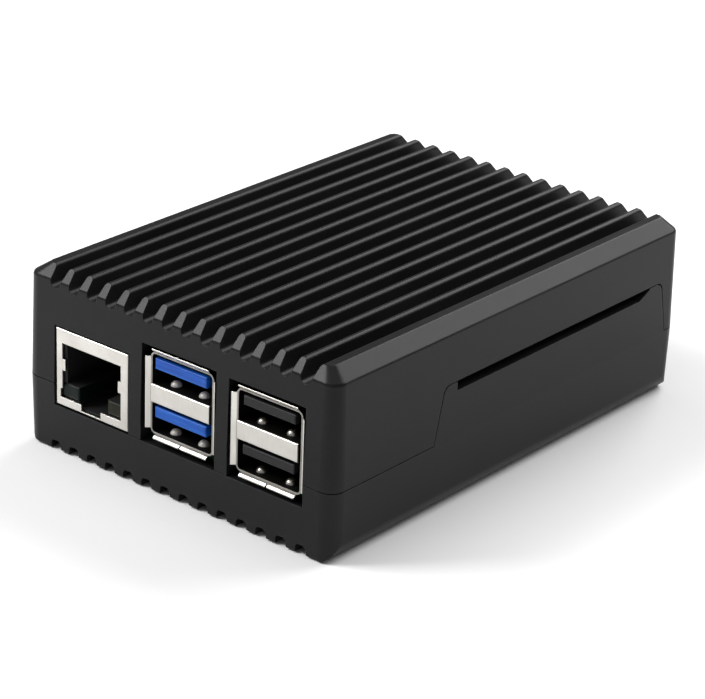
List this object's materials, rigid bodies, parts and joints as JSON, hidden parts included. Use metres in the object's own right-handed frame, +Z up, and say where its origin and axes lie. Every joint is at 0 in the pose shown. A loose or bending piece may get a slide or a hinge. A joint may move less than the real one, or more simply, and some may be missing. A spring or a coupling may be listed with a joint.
{
  "type": "single board computer",
  "caption": "Fan-less single board computer in a black finned aluminium case, with network and stacked USB sockets at one end and a header slot along one side.",
  "frame": {"origin": "under the middle of the case, on the surface that its lower ridges stand on", "axes": "+X out of the network and USB sockets along the longest side, +Y out of the side with the long slot, +Z up"},
  "size_m": [0.0908, 0.0648, 0.0315],
  "materials": {
    "case_aluminium": "fine matt black coating over bead-blasted die-cast aluminium",
    "screw_steel": "black oxide socket-head screws",
    "circuit_board": "green solder mask over glass-fibre laminate",
    "plated_steel": "satin nickel plate on folded sheet",
    "black_plastic": "moulded glass-filled plastic",
    "blue_plastic": "moulded plastic, saturated blue",
    "gold_contact": "gold flash over copper alloy",
    "light_pipe_green": "tinted clear light pipe",
    "light_pipe_amber": "tinted clear light pipe",
    "clear_plastic": "clear polycarbonate",
    "white_plastic": "moulded off-white plastic",
    "chip_package": "moulded package",
    "chip_lid": "nickel-plated metal lid",
    "capacitor_ceramic": "multilayer ceramic",
    "thermal_pad": "soft silicone pad",
    "button_aluminium": "black anodised turned cap"
  },
  "bodies": {
    "case": {"bottom_shell": "case_aluminium", "camera_display_1_connector": "white_plastic", "camera_display_2_connector": "white_plastic", "case_screws": "screw_steel", "ceramic_capacitors": "capacitor_ceramic", "clock_battery_connector": "white_plastic", "crystal": "chip_lid", "debug_connector": "white_plastic", "ethernet_activity_light_pipe": "light_pipe_amber", "ethernet_contacts": "gold_contact", "ethernet_insert": "black_plastic", "ethernet_link_light_pipe": "light_pipe_green", "ethernet_shield": "plated_steel", "expansion_connector": "white_plastic", "fan_connector": "white_plastic", "gpio_header_base": "black_plastic", "gpio_header_pins": "gold_contact", "io_controller": "chip_package", "io_controller_thermal_pad": "thermal_pad", "mainboard": "circuit_board", "memory_card_contacts": "gold_contact", "memory_card_socket": "plated_steel", "memory_chip": "chip_package", "memory_chip_thermal_pad": "thermal_pad", "micro_hdmi_1_shell": "plated_steel", "micro_hdmi_1_tongue": "black_plastic", "micro_hdmi_2_shell": "plated_steel", "micro_hdmi_2_tongue": "black_plastic", "poe_header_base": "black_plastic", "poe_header_pins": "gold_contact", "power_controller": "chip_package", "power_controller_thermal_pad": "thermal_pad", "power_inductors": "chip_package", "power_switch": "black_plastic", "processor": "chip_lid", "processor_thermal_pad": "thermal_pad", "status_light": "clear_plastic", "status_light_pipe": "clear_plastic", "top_shell": "case_aluminium", "usb2_contacts": "gold_contact", "usb2_insulator": "black_plastic", "usb2_shell": "plated_steel", "usb2_springs": "plated_steel", "usb2_tongues": "black_plastic", "usb3_contacts": "gold_contact", "usb3_insulator": "black_plastic", "usb3_shell": "plated_steel", "usb3_springs": "plated_steel", "usb3_tongues": "blue_plastic", "usb_c_shell": "plated_steel", "usb_c_tongue": "black_plastic", "wireless_can": "plated_steel", "wireless_can_thermal_pad": "thermal_pad"},
    "power_button": {"power_button": "button_aluminium", "switch_plunger": "white_plastic"},
    "camera_display_1_latch": {"camera_display_1_latch": "black_plastic"},
    "camera_display_2_latch": {"camera_display_2_latch": "black_plastic"},
    "expansion_latch": {"expansion_latch": "black_plastic"}
  },
  "joints": [
    {"name": "power_button_press", "type": "slide", "parent": "case", "child": "power_button", "axis": [1, 0, 0], "range_m": [0, 0.0003], "stiffness_N_per_m": 1500},
    {"name": "camera_display_1_lift", "type": "slide", "parent": "case", "child": "camera_display_1_latch", "axis": [0, 0, 1], "range_m": [0, 0.001]},
    {"name": "camera_display_2_lift", "type": "slide", "parent": "case", "child": "camera_display_2_latch", "axis": [0, 0, 1], "range_m": [0, 0.001]},
    {"name": "expansion_lift", "type": "slide", "parent": "case", "child": "expansion_latch", "axis": [0, 0, 1], "range_m": [0, 0.001]}
  ]
}
